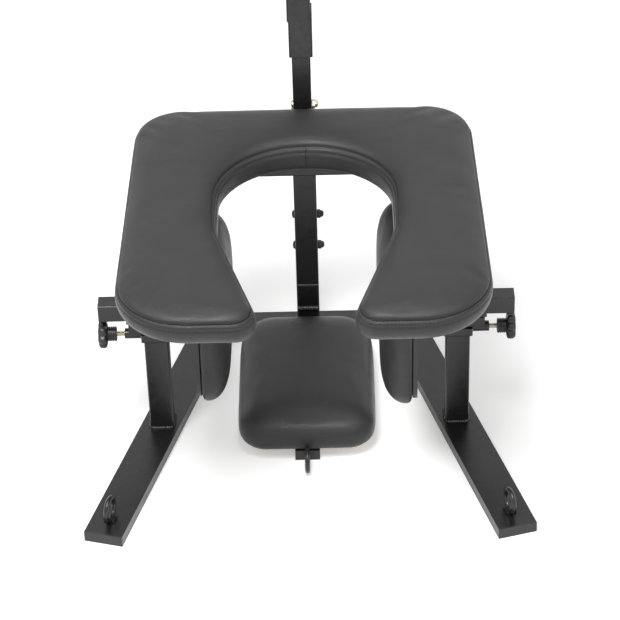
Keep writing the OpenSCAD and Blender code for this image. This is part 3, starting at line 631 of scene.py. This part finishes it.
def make_knob(side):
    """A moulded star knob with a ribbed hub, rounded lobes and a dished face, on its threaded stud."""
    sign = -1 if side == "left" else 1
    lo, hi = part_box("star_knob_" + side)
    place = outward(sign, near_far(lo, hi)[0], *centre(lo, hi)[1:])
    profile = [(5, 0, 0), (11, 0, 0), (11.8, 0, 0.7)]
    for rib in range(RIBS):
        z = RIB_START + RIB_PITCH * rib
        profile += [(12, 0, z), (12, 0, z + 1.5), (11.1, 0, z + 1.9), (11.1, 0, z + 2.7)]
    profile += KNOB_HEAD
    rings = []
    for radius, lobed, z in profile:
        ring = []
        for i in range(KNOB_POINTS):
            a = TAU * i / KNOB_POINTS
            r = radius * (1 - LOBE_DEPTH * lobed * (0.5 - 0.5 * math.cos(LOBES * a)) ** LOBE_SHARPNESS) * MM
            ring.append(place @ Vector((r * math.cos(a), r * math.sin(a), z * MM)))
        rings.append(ring)
    bm = bmesh.new()
    add_loops(bm, rings)
    obj = piece("knob_moulding_" + side, bm, side + "_knob", "black_plastic", smooth_angle=50)
    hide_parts("star_knob_" + side)

    lo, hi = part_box("knob_stud_" + side)
    start, end = near_far(lo, hi)
    place = outward(sign, start, *centre(lo, hi)[1:])
    profile = [(3 * MM, 0)]
    for i in range(int((end - start) / THREAD_PITCH)):
        profile += [(CORE_R, THREAD_PITCH * (i + 0.15)), (CREST_R, THREAD_PITCH * (i + 0.5)),
                    (CREST_R, THREAD_PITCH * (i + 0.65))]
    profile.append((CORE_R, end - start))
    bm = bmesh.new()
    turned(bm, profile, place, 24)
    obj = piece("threaded_stud_" + side, bm, side + "_knob", "zinc_steel", smooth_angle=25)
    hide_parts("knob_stud_" + side)


# Each cross bolt: its height, half the width of the tube it crosses, and its slot
BOLTS = ((178 * MM, 19 * MM, "black_steel"), (240 * MM, 19 * MM, "black_steel"),
         (453 * MM, 15 * MM, "zinc_steel"))
BOLT_R, SHANK_PAST, HEX_FLAT, NUT_POINTS = 4 * MM, 6 * MM, 6.5, 48
# Radius and height of the domed head, in mm
HEAD = ((7, 0), (7, 1.1), (6.6, 2.2), (5.5, 3.4), (3.6, 4.2), (1.6, 4.5), (0.3, 4.5))
# The cap nut in mm: the most its corners reach, the circle that rounds them off, and the height
NUT = ((6.6, 6.6, 0), (7.6, 7.1, 0.2), (7.6, 7.6, 0.8), (7.6, 7.6, 5), (7.6, 7.2, 5.8), (6, 6, 6.1),
       (6, 6, 7), (5.6, 5.6, 8.8), (4.4, 4.4, 10.3), (2.4, 2.4, 11.3), (0.3, 0.3, 11.5))


def make_bolts():
    """Cross bolts through the mast: a domed head on the left and a cap nut on the right of each."""
    y = centre(*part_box("mast_bolts"))[1]
    for number, (z, half, slot) in enumerate(BOLTS):
        bm = bmesh.new()
        turned(bm, [(r * MM, h * MM) for r, h in HEAD], outward(-1, half, y, z))
        turned(bm, [(BOLT_R, 0), (BOLT_R, 2 * half + SHANK_PAST)], outward(1, -half, y, z), 20)
        nut = outward(1, half, y, z)
        rings = []
        for most, rounded, h in NUT:
            ring = []
            for i in range(NUT_POINTS):
                a = TAU * i / NUT_POINTS
                flat = HEX_FLAT / math.cos((a % (TAU / 6)) - TAU / 12)
                r = min(most, rounded, flat) * MM
                ring.append(nut @ Vector((r * math.cos(a), r * math.sin(a), h * MM)))
            rings.append(ring)
        add_loops(bm, rings)
        piece("mast_bolt_%d" % (number + 1), bm, "carriage", slot, smooth_angle=30)
    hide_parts("mast_bolts", "mast_nuts")


# Radius of a bead's path round a tube's corner, then the step along a bead and its ripples' length, both in mm
BEAD_CORNER, BEAD_STEP, RIPPLE_LENGTH = 8 * MM, 0.9, 3.8


def square_path(x, y, z, half):
    return [Vector((x + px, y + py, z)) for px, py in round_outline(2 * half, 2 * half, BEAD_CORNER)(0)]


def bead(name, body, paths, radius, closed=True):
    """Weld beads under the powder coat, their colour painted lighter as a painted sheen: overlapping ripples along
    each path.
    """
    rng = random.Random(name)
    bm = bmesh.new()
    for path in paths:
        points = resample(path, BEAD_STEP * MM, closed)
        sizes = [1 + 0.17 * math.sin(TAU * i * BEAD_STEP / RIPPLE_LENGTH) + rng.uniform(-0.08, 0.08)
                 for i in range(len(points) + 1)]
        tube_along(bm, points, radius, closed=closed, n=10, ripple=lambda i: sizes[i])
    return piece(name, bm, body, "black_steel", WELD_SHEEN_COAT, smooth_angle=80)


def make_beads():
    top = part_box("runner_left")[1].z
    feet = []
    for node in ("post_left", "post_right", "mast_socket"):
        lo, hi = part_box(node)
        x, y, _ = centre(lo, hi)
        feet.append(square_path(x, y, top + 0.8 * MM, (hi.x - lo.x) / 2 + 0.4 * MM))
    foot = bead("foot_beads", "base", feet, 2.6 * MM)
    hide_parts("foot_welds")
    lo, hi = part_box("mast_socket")
    front = [Vector((x, lo.y - 0.5 * MM, 60.5 * MM)) for x in (lo.x + 1.5 * MM, hi.x - 1.5 * MM)]
    bead("socket_bead", "base", [front], 3.6 * MM, closed=False)
    rims = []
    for side in ("left", "right"):
        lo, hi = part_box("sleeve_" + side)
        up_lo, up_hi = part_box("upright_" + side)
        x, y, _ = centre(up_lo, up_hi)
        half = (up_hi.x - up_lo.x) / 2
        rims += [square_path(x, y, lo.z, half), square_path(x, y, hi.z, half)]
    bead("sleeve_beads", "carriage", rims, 2 * MM)
    bosses = []
    for outer, side in enumerate(("left", "right")):
        lo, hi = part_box("knob_boss_" + side)
        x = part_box("collar_" + side)[outer].x
        _, y, z = centre(lo, hi)
        bosses.append([Vector((x, y + py, z + pz)) for py, pz in circle_points(48, (hi.y - lo.y) / 2)])
    bead("boss_beads", "base", bosses, 1.7 * MM)
    lo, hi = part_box("rear_bar")
    mast_lo, mast_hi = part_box("mast_tube")
    ups = [[Vector((x, mast_lo.y, lo.z + 3 * MM)), Vector((x, mast_lo.y, hi.z - 3 * MM))]
           for x in (mast_lo.x - 0.6 * MM, mast_hi.x + 0.6 * MM)]
    bead("rear_bar_beads", "carriage", ups, 2.4 * MM, closed=False)
    webs = [[Vector((x, hi.y - 20 * MM, lo.z - 1 * MM)), Vector((x, hi.y - 0.5 * MM, lo.z - 1 * MM))]
            for x in (mast_lo.x - 2 * MM, mast_hi.x + 2 * MM)]
    bead("rear_bar_corner_beads", "carriage", webs, 4.5 * MM, closed=False)


# ---------------------------------------------------------------- finishes of the CAD pieces

def dress_frame():
    """Gives each CAD piece the finish of its slot in the record."""
    slots = {row["node"]: row["material_slot"] for row in frame["record"]["subparts"]}
    for node, obj in frame["nodes"].items():
        obj.data.materials.clear()
        obj.data.materials.append(FINISH[slots[node]])


# ---------------------------------------------------------------- stage, light and camera

# The glow that lifts the floor to white where the camera or a reflection sees it
FLOOR_GLOW = 0.38
FLOOR_HALF, FLOOR_Z = 6.0, -0.0005
# The world's strength as a light, next to 1 where it is seen
WORLD_LIGHT = 0.5


def plain_floor():
    """A pale floor that reads white to the camera and keeps the object's shadow."""
    m = Nodes("pale_floor", (0.82, 0.82, 0.82), 0.9, specular=0.1)
    output = m.tree.nodes["Material Output"]
    speck = m.mix(m.noise(3, 4), (0.81, 0.81, 0.81), (0.83, 0.83, 0.83))
    m.link(speck, m.shader.inputs["Base Color"])
    rays = m.add("ShaderNodeLightPath")
    seen = m.add("ShaderNodeMath", {}, {0: rays.outputs["Is Camera Ray"], 1: rays.outputs["Is Glossy Ray"]},
                 operation="MAXIMUM")
    glow = m.add("ShaderNodeEmission", {"Color": (1, 1, 1, 1)})
    lift = m.add("ShaderNodeMath", {1: FLOOR_GLOW}, {0: seen.outputs[0]}, operation="MULTIPLY")
    m.link(lift.outputs[0], glow.inputs["Strength"])
    both = m.add("ShaderNodeAddShader", {}, {0: m.shader.outputs[0], 1: glow.outputs[0]})
    m.link(both.outputs[0], output.inputs["Surface"])
    return m.material


def make_stage():
    """The floor, and a white world that lights less than it shows."""
    bm = bmesh.new()
    half = FLOOR_HALF
    bm.faces.new([bm.verts.new((x, y, FLOOR_Z))
                  for x, y in ((-half, -half), (half, -half), (half, half), (-half, half))])
    mesh = bpy.data.meshes.new("floor")
    bm.to_mesh(mesh)
    bm.free()
    mesh.materials.append(plain_floor())
    obj = bpy.data.objects.new("floor", mesh)
    bpy.context.scene.collection.objects.link(obj)

    world = bpy.data.worlds.new("studio")
    bpy.context.scene.world = world
    world.use_nodes = True
    tree = world.node_tree
    background = tree.nodes["Background"]
    background.inputs["Color"].default_value = (1, 1, 1, 1)
    rays = tree.nodes.new("ShaderNodeLightPath")
    seen = rays.outputs["Is Camera Ray"]
    for kind in ("Is Transmission Ray", "Is Glossy Ray"):
        either = tree.nodes.new("ShaderNodeMath")
        either.operation = "MAXIMUM"
        tree.links.new(seen, either.inputs[0])
        tree.links.new(rays.outputs[kind], either.inputs[1])
        seen = either.outputs[0]
    level = tree.nodes.new("ShaderNodeMapRange")
    level.inputs["To Min"].default_value = WORLD_LIGHT
    level.inputs["To Max"].default_value = 1.0
    tree.links.new(seen, level.inputs["Value"])
    tree.links.new(level.outputs["Result"], background.inputs["Strength"])


def area_light(name, place, target, size, power):
    """A rectangular light at place that faces target."""
    light = bpy.data.lights.new(name, "AREA")
    light.shape = "RECTANGLE"
    light.size, light.size_y = size
    light.energy = power
    obj = bpy.data.objects.new(name, light)
    obj.location = place
    obj.rotation_euler = (Vector(target) - Vector(place)).to_track_quat("-Z", "Y").to_euler()
    bpy.context.scene.collection.objects.link(obj)


def make_lights():
    middle = (0, 0, 0.3)
    area_light("overhead", (-0.4, -1.0, 2.4), middle, (1.2, 1.0), 78)
    area_light("right_fill", (2.2, -1.2, 1.8), middle, (1.4, 1.4), 10)


CAMERA_PLACE = (0.04642, -3.12819, 2.45539)
# Degrees: down from level, off the +Y direction, and turned about the line of sight
CAMERA_TURN = (35.189, -0.753, -1.69)
CAMERA_LENS, CAMERA_SHIFT = 140.77, 0.001


def make_camera():
    """The photograph's viewpoint: a long lens from above the open front."""
    pitch, yaw, roll = (math.radians(turn) for turn in CAMERA_TURN)
    forward = Vector((math.sin(yaw) * math.cos(pitch), math.cos(yaw) * math.cos(pitch), -math.sin(pitch)))
    level = Vector((math.cos(yaw), -math.sin(yaw), 0))
    upward = level.cross(forward)
    right = level * math.cos(roll) + upward * math.sin(roll)
    up = upward * math.cos(roll) - level * math.sin(roll)
    camera = bpy.data.cameras.new("camera")
    camera.sensor_width = 36
    camera.lens = CAMERA_LENS
    camera.shift_x = CAMERA_SHIFT
    camera.clip_end = 50
    obj = bpy.data.objects.new("camera", camera)
    obj.matrix_world = Matrix.Translation(CAMERA_PLACE) @ Matrix(
        ((right.x, up.x, -forward.x, 0), (right.y, up.y, -forward.y, 0), (right.z, up.z, -forward.z, 0), (0, 0, 0, 1)))
    bpy.context.scene.collection.objects.link(obj)
    bpy.context.scene.camera = obj


make_camera()
make_stage()
make_lights()
dress_frame()
make_seat()
make_low_pad()
make_side_pad("left", "side_pad_left")
make_side_pad("right", "side_pad_right")
make_knob("left")
make_knob("right")
make_bolts()
make_beads()

bpy.context.scene.view_settings.view_transform = "Standard"
